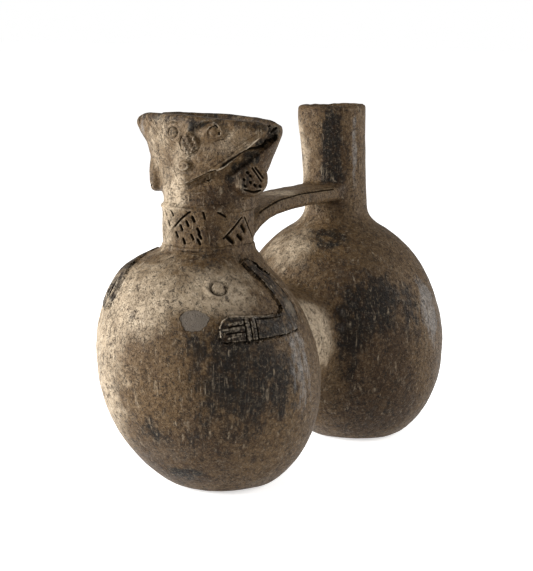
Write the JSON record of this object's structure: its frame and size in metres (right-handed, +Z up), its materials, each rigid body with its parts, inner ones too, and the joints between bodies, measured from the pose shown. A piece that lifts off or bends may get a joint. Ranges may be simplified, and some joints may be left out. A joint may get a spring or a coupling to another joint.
{
  "type": "double spout bridge handle bottle",
  "caption": "Hand built clay bottle of two joined egg shaped chambers, with a figure's head as its front mouth, a plain spout behind and a strap handle bridging them.",
  "frame": {"origin": "under the middle of the bottle's bounding box, on the surface that it stands on", "axes": "+Z up; +Y from the figure's chamber to the chamber with the plain spout, so the figure looks along -Y; +X to the figure's own left"},
  "size_m": [0.124, 0.2666, 0.2007],
  "materials": {
    "burnished_clay": "burnished, smoke-fired brown clay, satin where rubbed and matt in the incisions"
  },
  "bodies": {
    "root": {"double_spout_bottle": "burnished_clay"}
  },
  "joints": []
}
